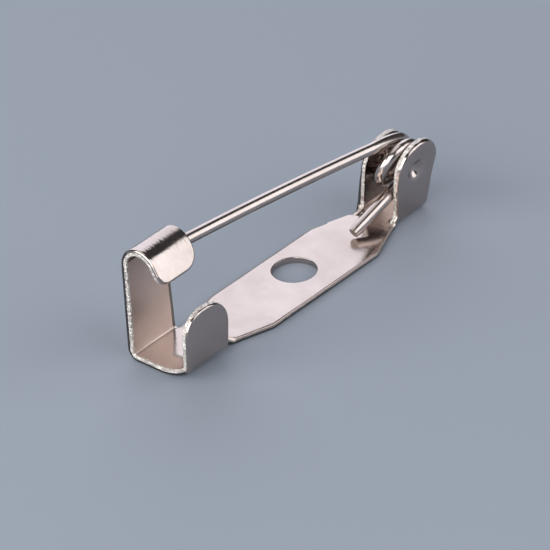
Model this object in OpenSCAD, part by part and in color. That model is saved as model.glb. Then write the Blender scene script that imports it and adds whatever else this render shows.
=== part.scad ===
// Bar pin back for a brooch: a stamped sheet with a hooked catch and two ears,
// and a spring wire whose coil turns between the ears.
// X runs along the bar with the catch at -X, the origin is the centre of the
// fixing hole on the underside, +Z is up. Lengths are in millimetres.

/* [Sheet] */
// Thickness of the plated sheet
sheet_t = 0.45; // [0.35:0.05:0.6]
// Mean radius of the small bends at the corner of the wall and at the ears
bend_r = 0.5; // [0.4:0.05:0.7]

/* [Base] */
// Width of the wide middle part
base_w = 5.4; // [4.6:0.1:6.5]
// Length of the wide middle part
wide_len = 10.1; // [8:0.1:14]
// Distance from the catch end of the wide part to the hole
hole_x = 5.5; // [4:0.1:6]
// Diameter of the fixing hole
hole_d = 3; // [2:0.1:3.4]
// How far the hole sits off the centre line, away from the tab
hole_off = 0.3; // [0:0.05:0.6]
// Length of the taper at the catch end
catch_taper = 4; // [2.5:0.1:6]
// Width of the neck that carries the catch
neck_w = 3.1; // [2.2:0.1:4]
// How far that neck sits off the centre line, away from the tab
neck_off = 0.25; // [0:0.05:0.4]
// Length of the taper at the hinge end
hinge_taper = 3.6; // [2.5:0.1:6]

/* [Catch] */
// Length of the catch along the bar
catch_len = 3.95; // [3:0.05:5]
// Flat stretch of the catch floor on the wall's side
floor_flat = 1.9; // [1.2:0.05:2.2]
// Mean radius of the trough that rises to the tab
trough_r = 3.85; // [3:0.05:5]
// Angle that the trough turns through
trough_turn = 33; // [25:1:40]
// Mean radius of the bend between the trough and the tab
tab_bend_r = 0.5; // [0.4:0.05:0.8]
// How far the tab leans outwards
tab_lean = 3.5; // [0:0.5:6]
// Height of the tab above the underside
tab_h = 4.95; // [4:0.05:5.2]
// Radius of the tab's round top
tab_r = 2.05; // [1.95:0.05:2.4]
// How far the wall leans in over the floor
wall_lean = 1.2; // [0:0.1:3]
// Height of the hook above the underside
hook_h = 8.6; // [8:0.1:9.6]
// Angle that the hook still lacks to a half circle
hook_open = 28; // [10:1:35]
// Length of the straight lip at the end of the hook
lip_len = 1.35; // [1:0.05:1.6]
// Corner radius of the lip at the front
lip_front_r = 0.75; // [0.4:0.05:1.2]
// Corner radius of the lip at the back
lip_back_r = 1.25; // [0.6:0.05:1.3]
// How much shorter the hook is than the floor, at the back
hook_set_in = 0.3; // [0:0.05:0.6]
// How much shorter it is at the front
hook_front_in = 0.1; // [0:0.05:0.3]

/* [Hinge] */
// Radius of the ears' round tops
ear_r = 2.05; // [1.8:0.05:2.4]
// Width of the ears where they leave the floor
ear_foot = 3.1; // [2.6:0.1:3.4]
// Height of the dimples above the underside
dimple_h = 3.95; // [3.6:0.05:4.6]
// Distance from the end of the taper to the middle of the ears
ear_set = 1.75; // [1.6:0.05:2.4]
// How far the far ear stands nearer to the catch than the one on the tab's side
ear_stagger = 0.4; // [0:0.05:0.5]
// How far the dimples lie off the ears' middle, towards the catch
dimple_set = 0.15; // [0:0.05:0.3]
// Lean of both ears towards the tab's side
ear_lean = 9.5; // [0:0.5:12]
// Radius of each dimple where it stands inside the coil
dimple_r = 0.5; // [0.4:0.05:0.7]
// Height of each dimple inside the ears
dimple_rise = 0.45; // [0.2:0.05:0.45]
// How much further out the far ear stands than the one on the tab's side
far_ear_out = 0.15; // [0:0.05:0.2]
// Radius of the hollow that each dimple leaves outside
dent_r = 0.65; // [0.4:0.05:0.8]
// Depth of that hollow
dent_depth = 0.3; // [0.1:0.05:0.35]

/* [Pin] */
// Diameter of the spring wire
wire_d = 0.8; // [0.6:0.05:0.9]
// How far the coil has settled towards the catch, off the dimples
coil_shift_x = 0.4; // [0:0.05:0.7]
// How far the coil has settled upwards, off the dimples
coil_shift_z = 0.3; // [0:0.05:0.5]
// Gap between the two turns of the coil
turn_gap = 0.1; // [0.08:0.01:0.4]
// How far the pin lies above the middle of the hook
pin_lift = 0.54; // [0.1:0.02:0.56]
// How far the pin lies aside of the middle of the hook, towards the wall
pin_aside = -0.18; // [-0.3:0.02:0.3]
// Radius of the gentle bend with which the pin comes off the top of the coil
shoulder_r = 10; // [3:0.5:20]
// Where on the coil that bend begins, up from level
shoulder_start = 69; // [60:1:80]
// Radius of the pin's slight bow
bow_r = 260; // [200:10:900]
// Radius of the slight sideways bends where the pin and the leg leave the coil
set_r = 2; // [1:0.1:3]
// Length of the ground point
point_len = 2.4; // [1.5:0.1:4]
// Radius of the very tip
tip_r = 0.05; // [0.03:0.01:0.1]
// Distance from the catch's front to the tip
tip_set_in = 0.7; // [0.3:0.05:1.5]
// Length of the base that the wire's short leg reaches over, from the dimples
leg_reach = 4.7; // [4:0.1:6]
// Sideways place of the short leg's end, from the centre line
leg_y = -0.42; // [-0.8:0.05:0.2]

/* [Clearances] */
// Play between the wire and the hook's inside, all round
hook_play = 0.645; // [0.3:0.005:0.9]
// Play between the coil and the ear on the tab's side
near_play = 0.06; // [0.03:0.01:0.2]
// Play between the coil and the other ear, before that ear's own step outwards
far_play = 0.1; // [0.08:0.01:0.2]
// Play between the dimples and the coil's inside
eye_play = 0.09; // [0.05:0.01:0.2]
// Gap between the short leg and the base
leg_gap = 0.03; // [0.02:0.01:0.1]

/* [Hidden] */
$fn = 48;
wire_steps = 48;          // facets round the wire
bow_steps = 1200;         // facets of a whole ring of the bow's radius
shoulder_steps = 180;     // facets of a whole ring of the shoulder's radius
back_turn = 20;           // where the first turn's upper part begins, up from level

nickel = [0.80, 0.77, 0.78];
wire_nickel = [0.72, 0.68, 0.67];
reach = 20;               // longer than any cut has to be
// Bends are this much fuller than the sheet or wire and reach this many
// degrees past their ends, so that the pieces of a run make one body
lap_skin = 0.002;
lap_turn = 1;
half_t = sheet_t / 2;
wire_r = wire_d / 2;

// Places along the bar
wide_x0 = -hole_x;
wide_x1 = wide_x0 + wide_len;
catch_x1 = wide_x0 - catch_taper;
catch_x0 = catch_x1 - catch_len;
hinge_x0 = wide_x1 + hinge_taper;
ear_cx = hinge_x0 + ear_set;
dimple_cx = ear_cx - dimple_set;
ear_x0 = ear_cx - ear_foot / 2;
ear_x1 = ear_cx + ear_foot / 2;

// The centre line lies off the hole
mid_y = -hole_off;

// Catch: the floor's flat stretch ends where the trough begins, and the
// wall's bend stands at its other end
hook_r = wire_r + hook_play + half_t;
corner_turn = 90 + wall_lean;
corner_top = half_t + bend_r * (1 - cos(corner_turn));
wall_len = (hook_h - half_t - hook_r - corner_top) / cos(wall_lean);
trough_end = trough_r * (1 - cos(trough_turn));
tab_turn = 90 - tab_lean - trough_turn;
tab_foot = half_t + trough_end
    + tab_bend_r * (cos(trough_turn) - cos(trough_turn + tab_turn));
tab_len = (tab_h - tab_foot) / cos(tab_lean);
wall_foot_y = floor_flat + bend_r * sin(corner_turn);
hook_cy = wall_foot_y - wall_len * sin(wall_lean) - hook_r * cos(wall_lean);
hook_cz = corner_top + wall_len * cos(wall_lean) - hook_r * sin(wall_lean);
lip_lean = hook_open - wall_lean;
lip_y = hook_cy - hook_r * cos(lip_lean) - lip_len * sin(lip_lean);
lip_z = hook_cz + hook_r * sin(lip_lean) - lip_len * cos(lip_lean);
tab_cx = catch_x1 - tab_r;
tab_cz = tab_h - tab_r;

// Coil: its eye lies round the dimples, and the ears stand round the coil
eye_r = norm([coil_shift_x, coil_shift_z]) + dimple_r + eye_play;
coil_r = eye_r + wire_r;
ear_gap = 2 * wire_d + turn_gap + near_play + far_play;
far_n = ear_gap / 2 - far_play - wire_r;
near_n = -ear_gap / 2 + near_play + wire_r;
turn_pitch = far_n - near_n;
ear_y = (ear_gap / 2 + half_t) / cos(ear_lean);
coil_x = dimple_cx - coil_shift_x;
coil_z = dimple_h + coil_shift_z;
coil_y = mid_y - (coil_z - half_t) * tan(ear_lean);

// Ears: flat floor on each side of the centre line before the bends begin
near_flat = ear_y - bend_r * tan((90 - ear_lean) / 2);
far_flat = ear_y + far_ear_out - bend_r * tan((90 + ear_lean) / 2);

// The hinge's own frame: along the bar, along the coil's axis, up the ears
function to_hinge(p) = [p[0] - coil_x,
    (p[1] - coil_y) * cos(ear_lean) + (p[2] - coil_z) * sin(ear_lean),
    (p[2] - coil_z) * cos(ear_lean) - (p[1] - coil_y) * sin(ear_lean)];

// A wire leaves the coil as a tangent, then bends sideways by a few degrees to
// pass through a point.
// Angle at the coil's middle from the point to where a straight tangent
// leaves, for a coil of radius r and a point at distance d
function straight_turn(r, d) = acos(r / d);
// The same for a tangent that is bowed the coil's way with radius bow
function bowed_turn(r, d, bow) =
    acos((pow(bow, 2) - pow(bow - r, 2) - pow(d, 2)) / (2 * (bow - r) * d));
// Sideways bend of radius set_r that ends in line with a point that lies
// along and aside from where the bend starts
function side_turn(along, aside) =
    asin(set_r / norm([along, set_r - abs(aside)])) - atan2(set_r - abs(aside), along);

// The pin runs under the top of the hook, halfway along the catch
pin_aim = to_hinge([catch_x0 + catch_len / 2, mid_y + hook_cy + pin_aside, hook_cz + pin_lift]);
// The shoulder's centre, and the pin's way from there
shoulder = (coil_r - shoulder_r) * [cos(shoulder_start), 0, sin(shoulder_start)];
pin_way = pin_aim - shoulder;
pin_far = norm([pin_way[0], pin_way[2]]);
pin_leave = atan2(pin_way[2], pin_way[0]) - bowed_turn(shoulder_r, pin_far, bow_r);
pin_side = side_turn(sqrt(pow(pin_far, 2) - pow(shoulder_r, 2)), pin_aim[1] - far_n);
pin_start = shoulder[0] + shoulder_r * cos(pin_leave);
pin_len = (coil_x + pin_start - catch_x0 - tip_set_in) / cos(pin_side);
bow_turn = (pin_len - point_len) / bow_r * 180 / PI;

// The short leg ends just over the base
leg_end = to_hinge([dimple_cx - leg_reach, mid_y + leg_y, sheet_t + wire_r + leg_gap]);
leg_far = norm([leg_end[0], leg_end[2]]);
leg_leave = atan2(leg_end[2], leg_end[0]) + straight_turn(coil_r, leg_far);
leg_along = sqrt(pow(leg_far, 2) - pow(coil_r, 2));
leg_side = side_turn(leg_along, leg_end[1] - near_n);
leg_len = (leg_along - set_r * sin(leg_side)) / cos(leg_side);

// A sector of sheet round the origin: it begins straight down and turns left.
// A full one is a hair fuller and longer than the sheet, to overlap what
// comes before and after it.
module bend_section(r, turn, full) {
    a0 = full ? -lap_turn : 0;
    a1 = full ? turn + lap_turn : turn;
    skin = half_t + (full ? lap_skin : 0);
    intersection() {
        difference() {
            circle(r + skin);
            circle(r - skin);
        }
        polygon(concat([[0, 0]],
            [for (i = [0 : 4]) let (a = a0 + (a1 - a0) * i / 4) 3 * r * [sin(a), -cos(a)]]));
    }
}

// A sheet section made of steps: [length] runs straight on and
// [radius, turn, full] bends to the left. It starts at the origin along +X.
module bent_section(steps) {
    if (len(steps) > 0) {
        step = steps[0];
        rest = [for (i = [1 : 1 : len(steps) - 1]) steps[i]];
        if (len(step) == 1) {
            translate([0, -half_t]) square([step[0], sheet_t]);
            translate([step[0], 0]) bent_section(rest);
        } else {
            translate([0, step[0]]) {
                bend_section(step[0], step[1], step[2]);
                rotate(step[1]) translate([0, -step[0]]) bent_section(rest);
            }
        }
    }
}

// Stands a section up across the bar and draws it out from x0 to x1
module along_bar(x0, x1) {
    translate([x0, mid_y, 0]) rotate([90, 0, 90])
        linear_extrude(x1 - x0) children();
}

// Draws a side outline out across the bar, from y0 to y1
module across_bar(y0, y1) {
    translate([0, y1, 0]) rotate([90, 0, 0])
        linear_extrude(y1 - y0) children();
}

// What a round corner of radius r takes off a square one at the origin
module corner_waste(r) {
    difference() {
        translate([-r, -r]) square(2 * r);
        translate([r, r]) circle(r);
        square([2 * r, 2 * r]);
    }
    difference() {
        square(r);
        translate([r, r]) circle(r);
    }
}

module base() {
    linear_extrude(sheet_t) polygon([
        [catch_x1 - half_t, mid_y + neck_off - neck_w / 2],
        [catch_x1 + half_t, mid_y + neck_off - neck_w / 2],
        [wide_x0, mid_y - base_w / 2],
        [wide_x1, mid_y - base_w / 2],
        [ear_x0 + half_t, mid_y - ear_y],
        [ear_x0 + half_t, mid_y + ear_y + far_ear_out],
        [wide_x1, mid_y + base_w / 2],
        [wide_x0, mid_y + base_w / 2],
        [catch_x1 + half_t, mid_y + neck_off + neck_w / 2],
        [catch_x1 - half_t, mid_y + neck_off + neck_w / 2]]);
}

// Wall, hook and lip: the sheet climbs from the floor and curls over
module hook() {
    difference() {
        along_bar(catch_x0, catch_x1) translate([0, half_t]) bent_section([
            [floor_flat], [bend_r, corner_turn, true], [wall_len],
            [hook_r, 180 - hook_open, true], [lip_len]]);
        // the back edge leans in towards the top
        across_bar(-reach, reach) polygon([
            [catch_x1, sheet_t], [catch_x1 + reach, sheet_t],
            [catch_x1 + reach, hook_h + reach],
            [catch_x1 - hook_set_in * reach / hook_h, sheet_t + reach]]);
        // and so does the front edge
        across_bar(-reach, reach) polygon([
            [catch_x0, sheet_t], [catch_x0 - reach, sheet_t],
            [catch_x0 - reach, hook_h + reach],
            [catch_x0 + hook_front_in * reach / hook_h, sheet_t + reach]]);
        // the lip's two round corners, cut square to the lip
        translate([0, mid_y + lip_y, lip_z]) rotate([-lip_lean, 0, 0])
            across_bar(-sheet_t, sheet_t) {
                translate([catch_x0 + hook_front_in, 0]) corner_waste(lip_front_r);
                translate([catch_x1 - hook_set_in, 0]) mirror([1, 0])
                    corner_waste(lip_back_r);
            }
    }
}

// Trough and tab: the floor rises to a round-topped tab
module tab() {
    intersection() {
        along_bar(catch_x0, catch_x1) translate([0, half_t]) mirror([1, 0])
            bent_section([[trough_r, trough_turn, false],
                [tab_bend_r, tab_turn, true], [tab_len]]);
        across_bar(-reach, reach) {
            translate([catch_x0, 0]) square([catch_len, tab_cz]);
            intersection() {
                translate([tab_cx, tab_cz]) circle(tab_r);
                translate([catch_x0, 0]) square([catch_len, tab_h]);
            }
        }
    }
}

// Side outline of the ears
module ear_outline() {
    translate([ear_cx, dimple_h]) circle(ear_r);
    polygon([
        [ear_x0, 0], [ear_x1, 0],
        [ear_cx + ear_r, dimple_h], [ear_cx - ear_r, dimple_h]]);
}

// One ear with the floor that leads to it
module ear(flat, turn) {
    intersection() {
        along_bar(ear_x0 - ear_r, ear_x1 + ear_r) translate([0, half_t])
            bent_section([[flat], [bend_r, turn, true], [dimple_h + 2 * ear_r]]);
        across_bar(-reach, reach) ear_outline();
    }
}

module ears() {
    translate([-ear_stagger, 0, 0]) ear(far_flat, 90 + ear_lean);
    translate([0, 2 * mid_y, 0]) mirror([0, 1, 0]) ear(near_flat, 90 - ear_lean);
}

// One dimple, round the coil's axis direction, seen from inside the ears:
// side is 1 at the far ear and -1 at the near one
module at_dimple(side) {
    translate([dimple_cx - (side > 0 ? ear_stagger : 0),
        mid_y - (dimple_h - half_t) * tan(ear_lean), dimple_h])
        rotate([ear_lean, 0, 0])
            translate([0, side * ear_gap / 2 + (side > 0 ? far_ear_out : 0), 0])
            rotate([side * 90, 0, 0]) children();
}

// A dome of the given radius and height standing on the XY plane
module dome(r, h) {
    ball_r = (r * r + h * h) / (2 * h);
    intersection() {
        translate([0, 0, h - ball_r]) sphere(ball_r);
        translate([0, 0, -half_t / 2]) cylinder(h = h + half_t, r = r);
    }
}

module back_plate() {
    color(nickel) difference() {
        union() {
            base();
            hook();
            tab();
            ears();
            for (side = [-1, 1]) at_dimple(side) dome(dimple_r, dimple_rise);
        }
        translate([0, 0, -sheet_t]) cylinder(h = 3 * sheet_t, d = hole_d);
        for (side = [-1, 1])
            at_dimple(side) translate([0, 0, -sheet_t]) dome(dent_r, dent_depth);
    }
}

// Part of a ring of wire in the XZ plane, from angle a0 to a1, where 0 points
// to +X and 90 points up
module ring_part(r, a0, a1, full, steps = $fn) {
    lap = full ? lap_turn : 0;
    rotate([90, 0, 0])
        rotate_extrude(angle = a1 - a0 + 2 * lap, start = a0 - lap, $fn = steps)
            translate([r, 0]) circle(wire_r + (full ? lap_skin : 0), $fn = wire_steps);
}

// The sideways bend at the angle leave of a ring of radius r, turning towards
// +Y, and what follows it along +Z. way is 1 for a wire that leaves
// counter-clockwise.
module leave_ring(r, leave, way, turn) {
    rotate([0, -leave, 0]) translate([r, 0, 0]) rotate([0, -90 * way, 0]) {
        translate([0, set_r, 0]) rotate([-90, 0, 0])
            ring_part(set_r, -90, turn - 90, true);
        translate([set_r * sin(turn), set_r * (1 - cos(turn)), 0])
            rotate([0, 0, turn]) rotate([0, 90, 0]) children();
    }
}

// The bowed pin with its ground point, from the origin along +Z
module bowed_pin() {
    translate([-bow_r, 0, 0]) {
        ring_part(bow_r, 0, bow_turn, false, bow_steps);
        rotate([0, -bow_turn, 0]) translate([bow_r, 0, 0]) rotate_extrude() polygon([
            [0, -half_t], [wire_r + lap_skin, -half_t], [wire_r + lap_skin, 0],
            [tip_r, point_len], [0, point_len]]);
    }
}

module pin_wire() {
    swing_r = norm([coil_r, turn_pitch / 2]);
    swing_tilt = atan2(turn_pitch / 2, coil_r);
    color(wire_nickel) translate([coil_x, coil_y, coil_z]) rotate([ear_lean, 0, 0]) {
        translate([0, far_n, 0]) {
            translate(shoulder) {
                leave_ring(shoulder_r, pin_leave, 1, pin_side) bowed_pin();
                ring_part(shoulder_r, shoulder_start, pin_leave, false, shoulder_steps);
            }
            // first turn: over the back and down
            ring_part(coil_r, back_turn, shoulder_start, true);
            ring_part(coil_r, -90, back_turn, false);
        }
        // round the front and up, across to the second turn
        translate([0, (far_n + near_n) / 2, 0]) rotate([swing_tilt, 0, 0])
            ring_part(swing_r, 90, 270, true);
        translate([0, near_n, 0]) {
            // second turn: over the back and down
            ring_part(coil_r, leg_leave, 90, false);
            leave_ring(coil_r, leg_leave, -1, leg_side) cylinder(h = leg_len, r = wire_r);
        }
    }
}

back_plate();
pin_wire();
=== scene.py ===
"""Looks of a brooch pin finding: a stamped nickel-plated base and a spring wire.

Sizes are in millimetres until a mesh is made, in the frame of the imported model:
X along the bar, Z up, the origin at the fixing hole's centre on the underside.
"""

import logging
import math
from dataclasses import dataclass, field
from enum import Enum, IntEnum

import bpy
import numpy as np
from mathutils import Matrix, Vector
from mathutils.geometry import delaunay_2d_cdt


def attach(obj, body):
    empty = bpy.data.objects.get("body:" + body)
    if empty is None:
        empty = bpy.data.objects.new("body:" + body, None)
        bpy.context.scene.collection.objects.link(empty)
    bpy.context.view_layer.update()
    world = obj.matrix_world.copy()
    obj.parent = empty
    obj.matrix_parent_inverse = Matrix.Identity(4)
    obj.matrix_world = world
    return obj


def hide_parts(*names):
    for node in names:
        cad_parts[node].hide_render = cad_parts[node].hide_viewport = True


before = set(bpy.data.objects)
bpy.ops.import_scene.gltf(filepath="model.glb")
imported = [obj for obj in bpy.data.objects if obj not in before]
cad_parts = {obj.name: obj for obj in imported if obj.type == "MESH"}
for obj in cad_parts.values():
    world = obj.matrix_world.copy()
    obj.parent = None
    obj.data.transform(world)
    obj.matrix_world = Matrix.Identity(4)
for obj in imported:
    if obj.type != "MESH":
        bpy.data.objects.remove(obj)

MM = 0.001
LOG = logging.getLogger("brooch_pin")


class Side(Enum):
    """The two long sides of the bar, by the sign of Y."""

    NEAR = -1
    FAR = 1


class Skin(IntEnum):
    """The base's finishes, in the order of its material slots."""

    SHEET = 0
    # sheared edges: real rough grain, with a near-white tone that paints a highlight
    SHEARED_AND_HIGHLIGHT = 1
    # painted shade: a dark copy of the nickel for rims turned away from the light and the band by the
    # wall's rear edge
    PAINTED_SHADE = 2
    # satin: a rougher finish, with a lighter, pinker tone that paints the warm reflection on the wall and
    # the long edges
    SATIN_AND_SHEEN = 3
    BRUSHED = 4


# Small helpers for shapes


def smooth_step(low: float, high: float, value: np.ndarray) -> np.ndarray:
    """Rises smoothly from 0 at low to 1 at high."""
    t = np.clip((value - low) / (high - low), 0.0, 1.0)
    return t * t * (3.0 - 2.0 * t)


def wave_noise(x: np.ndarray, y: np.ndarray, seed: int, length: float, count: int = 9) -> np.ndarray:
    """Smooth noise between about -1 and 1, a sum of plane waves.

    Args:
        x, y: places on the sheet, in mm.
        seed: fixes the waves.
        length: typical wavelength, in mm.
        count: number of waves.

    Returns:
        One value for each place.
    """
    shortest, longest = 0.6, 1.7
    rng = np.random.default_rng(seed)
    total = np.zeros(np.broadcast(x, y).shape)
    for _ in range(count):
        angle = rng.uniform(0.0, math.pi)
        rate = 2.0 * math.pi / (length * rng.uniform(shortest, longest))
        phase = rng.uniform(0.0, 2.0 * math.pi)
        total += np.sin(rate * (x * math.cos(angle) + y * math.sin(angle)) + phase)
    return total / math.sqrt(count * 2.0)


@dataclass(frozen=True)
class Run:
    """One stretch of a bent strip: straight, or an arc that turns upwards."""

    length: float
    turn: float = 0.0

    @staticmethod
    def arc(radius: float, degrees: float) -> "Run":
        """A bend of that mean radius."""
        turn = math.radians(degrees)
        return Run(radius * turn, turn)


def along_runs(runs: list[Run], s: np.ndarray) -> tuple[np.ndarray, np.ndarray]:
    """Follows a chain of runs that starts at the origin along +Y.

    Args:
        runs: the chain. Its last run goes on past its end in a straight line.
        s: distances along the chain, 0 or more.

    Returns:
        The places' y and z.
    """
    y = s.copy()
    z = np.zeros_like(s)
    at, place_y, place_z, heading = 0.0, 0.0, 0.0, 0.0
    for index, run in enumerate(runs):
        last = index == len(runs) - 1
        here = (s >= at) & ((s <= at + run.length) | last)
        d = s[here] - at
        if run.turn:
            radius = run.length / run.turn
            a = heading + d / radius
            y[here] = place_y + radius * (np.sin(a) - math.sin(heading))
            z[here] = place_z - radius * (np.cos(a) - math.cos(heading))
            end = heading + run.turn
            place_y += radius * (math.sin(end) - math.sin(heading))
            place_z -= radius * (math.cos(end) - math.cos(heading))
            heading = end
        else:
            y[here] = place_y + d * math.cos(heading)
            z[here] = place_z + d * math.sin(heading)
            place_y += run.length * math.cos(heading)
            place_z += run.length * math.sin(heading)
        at += run.length
    return y, z


@dataclass(frozen=True)
class Corner:
    """A corner of a flat outline and the radius that rounds it."""

    x: float
    s: float
    radius: float

    def arc(self, before: "Corner", after: "Corner", spacing: float) -> list[np.ndarray]:
        """Samples the rounding between the corner's two sides.

        Args:
            before, after: the outline's corners on either hand.
            spacing: distance between samples, in mm.

        Returns:
            The samples, each an x and an s.
        """
        fewest_steps = 3
        here = np.array([self.x, self.s])
        back = np.array([before.x, before.s]) - here
        ahead = np.array([after.x, after.s]) - here
        back /= np.linalg.norm(back)
        ahead /= np.linalg.norm(ahead)
        half = 0.5 * math.acos(float(np.clip(back @ ahead, -1.0, 1.0)))
        reach = self.radius / math.tan(half)
        middle = (back + ahead) / np.linalg.norm(back + ahead)
        centre = here + middle * self.radius / math.sin(half)
        start = here + back * reach - centre
        end = here + ahead * reach - centre
        a0 = math.atan2(start[1], start[0])
        sweep = (math.atan2(end[1], end[0]) - a0 + math.pi) % (2.0 * math.pi) - math.pi
        steps = max(fewest_steps, int(abs(sweep) * self.radius / spacing))
        turns = (a0 + sweep * k / steps for k in range(steps + 1))
        return [centre + self.radius * np.array([math.cos(a), math.sin(a)]) for a in turns]


def rounded_outline(corners: list[Corner], spacing: float) -> np.ndarray:
    """Samples a closed outline with rounded corners.

    Args:
        corners: the outline's corners, in order.
        spacing: distance between samples, in mm.

    Returns:
        The samples, one row of x and s each.
    """
    closest = 0.3 * spacing
    following = corners[1:] + corners[:1]
    loop: list[np.ndarray] = []
    for i, corner in enumerate(corners):
        loop += corner.arc(corners[i - 1], following[i], spacing)
    samples: list[np.ndarray] = []
    for a, b in zip(loop, loop[1:] + loop[:1]):
        steps = max(1, int(np.linalg.norm(b - a) / spacing + 0.5))
        samples.extend(a + (b - a) * k / steps for k in range(steps))
    kept = [samples[0]]
    for point in samples[1:]:
        if np.linalg.norm(point - kept[-1]) > closest:
            kept.append(point)
    if np.linalg.norm(kept[0] - kept[-1]) < closest:
        kept.pop()
    return np.array(kept)


def outward(loop: np.ndarray) -> np.ndarray:
    """Unit normals on the right-hand side of a closed loop, which is outside a counter-clockwise one.

    Args:
        loop: one row of x and s for each point.

    Returns:
        One row of x and s for each normal.
    """
    tangent = np.roll(loop, -1, axis=0) - np.roll(loop, 1, axis=0)
    tangent /= np.linalg.norm(tangent, axis=1)[:, None]
    return np.stack([tangent[:, 1], -tangent[:, 0]], axis=1)


def inside(loop: np.ndarray, points: np.ndarray) -> np.ndarray:
    """Tells which points lie inside a closed loop.

    Args:
        loop: one row of x and s for each corner of the loop.
        points: one row of x and s for each point.

    Returns:
        True or False for each point.
    """
    x, y = points[:, 0], points[:, 1]
    result = np.zeros(len(points), bool)
    for a, b in zip(loop, np.roll(loop, -1, axis=0)):
        crosses = (a[1] > y) != (b[1] > y)
        if crosses.any() and b[1] != a[1]:
            result ^= crosses & (x < (b[0] - a[0]) * (y - a[1]) / (b[1] - a[1]) + a[0])
    return result


def middles(points: np.ndarray, triangles: list[tuple[int, ...]]) -> np.ndarray:
    """The middles of triangles between points on the blank, one row of x and s each."""
    return np.array([points[list(triangle)].mean(0) for triangle in triangles])


def crossings(x_lines: list[float], s_lines: list[float]) -> np.ndarray:
    """The points where two sets of lines on the blank cross, one row of x and s each."""
    return np.array([[x, s] for x in x_lines for s in s_lines])


def new_object(name: str, data: bpy.types.ID) -> bpy.types.Object:
    """An object in the scene that shows a mesh, curve, light or camera.

    Args:
        name: the object's name.
        data: what it shows.

    Returns:
        The object.
    """
    obj = bpy.data.objects.new(name, data)
    bpy.context.scene.collection.objects.link(obj)
    return obj


# Finishes, three of which carry painted highlight, sheen and shade


def new_material(name: str) -> tuple[bpy.types.Material, bpy.types.NodeTree, bpy.types.Node]:
    """Makes a material with only a Principled BSDF on its output.

    Args:
        name: the material's name.

    Returns:
        The material, its node tree and the shader.
    """
    material = bpy.data.materials.new(name)
    material.use_nodes = True
    tree = material.node_tree
    tree.nodes.clear()
    output = tree.nodes.new("ShaderNodeOutputMaterial")
    shader = tree.nodes.new("ShaderNodeBsdfPrincipled")
    tree.links.new(shader.outputs["BSDF"], output.inputs["Surface"])
    return material, tree, shader


def fill_inputs(node: bpy.types.Node, values: dict[str, object]) -> None:
    """Sets a node's inputs by their names."""
    for name, value in values.items():
        node.inputs[name].default_value = value


@dataclass(frozen=True)
class PlatingGroup:
    """Nickel plate's clouding, fine grain and brush lines, as one shader group."""

    name: str = "nickel_plating"
    cloud_detail: float = 5.0
    cloud_roughness: float = 0.6
    cloud_low: float = 0.35
    cloud_high: float = 0.72
    grain_detail: float = 3.0
    hairline_scale: float = 8000.0
    hairline_stretch: tuple[float, float, float] = (1.0, 0.12, 0.12)

    def empty_tree(self) -> bpy.types.NodeTree:
        """Makes the group's tree with nothing but its sockets.

        Returns:
            The tree.
        """
        tree = bpy.data.node_groups.new(self.name, "ShaderNodeTree")
        for way, kind, labels in (
            ("INPUT", "NodeSocketColor", ("Bright", "Clouded")),
            ("INPUT", "NodeSocketFloat", ("Cloud Scale", "Grain Scale", "Polish", "Haze")),
            ("OUTPUT", "NodeSocketColor", ("Color",)),
            ("OUTPUT", "NodeSocketFloat", ("Roughness", "Height", "Hairlines")),
        ):
            for label in labels:
                tree.interface.new_socket(name=label, in_out=way, socket_type=kind)
        return tree

    def tree(self) -> bpy.types.NodeTree:
        """Builds the group the first time, and finds it after that.

        Returns:
            A group whose colour, roughness and two heights vary over the surface.
        """
        found = bpy.data.node_groups.get(self.name)
        if found:
            return found
        group = self.empty_tree()
        nodes, links = group.nodes, group.links
        given = nodes.new("NodeGroupInput")
        result = nodes.new("NodeGroupOutput")
        place = nodes.new("ShaderNodeTexCoord")
        clouds = nodes.new("ShaderNodeTexNoise")
        fill_inputs(clouds, {"Detail": self.cloud_detail, "Roughness": self.cloud_roughness})
        grain = nodes.new("ShaderNodeTexNoise")
        fill_inputs(grain, {"Detail": self.grain_detail})
        for texture, scale in ((clouds, "Cloud Scale"), (grain, "Grain Scale")):
            links.new(place.outputs["Object"], texture.inputs["Vector"])
            links.new(given.outputs[scale], texture.inputs["Scale"])
        links.new(grain.outputs["Fac"], result.inputs["Height"])
        spread = nodes.new("ShaderNodeMapRange")
        fill_inputs(spread, {"From Min": self.cloud_low, "From Max": self.cloud_high})
        links.new(clouds.outputs["Fac"], spread.inputs["Value"])
        tint = nodes.new("ShaderNodeMix")
        tint.data_type = "RGBA"
        # the mix node has sockets of one name for each data type, so its colours go by number
        factor, colour_a, colour_b, mixed = 0, 6, 7, 2
        links.new(spread.outputs["Result"], tint.inputs[factor])
        links.new(given.outputs["Bright"], tint.inputs[colour_a])
        links.new(given.outputs["Clouded"], tint.inputs[colour_b])
        links.new(tint.outputs[mixed], result.inputs["Color"])
        haze = nodes.new("ShaderNodeMath")
        haze.operation = "MULTIPLY_ADD"
        for socket, value in zip(
            haze.inputs, (spread.outputs["Result"], given.outputs["Haze"], given.outputs["Polish"])
        ):
            links.new(value, socket)
        links.new(haze.outputs["Value"], result.inputs["Roughness"])
        drawn_out = nodes.new("ShaderNodeMapping")
        fill_inputs(drawn_out, {"Scale": self.hairline_stretch})
        hairlines = nodes.new("ShaderNodeTexNoise")
        fill_inputs(hairlines, {"Scale": self.hairline_scale})
        links.new(place.outputs["Object"], drawn_out.inputs["Vector"])
        links.new(drawn_out.outputs["Vector"], hairlines.inputs["Vector"])
        links.new(hairlines.outputs["Fac"], result.inputs["Hairlines"])
        return group


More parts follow.
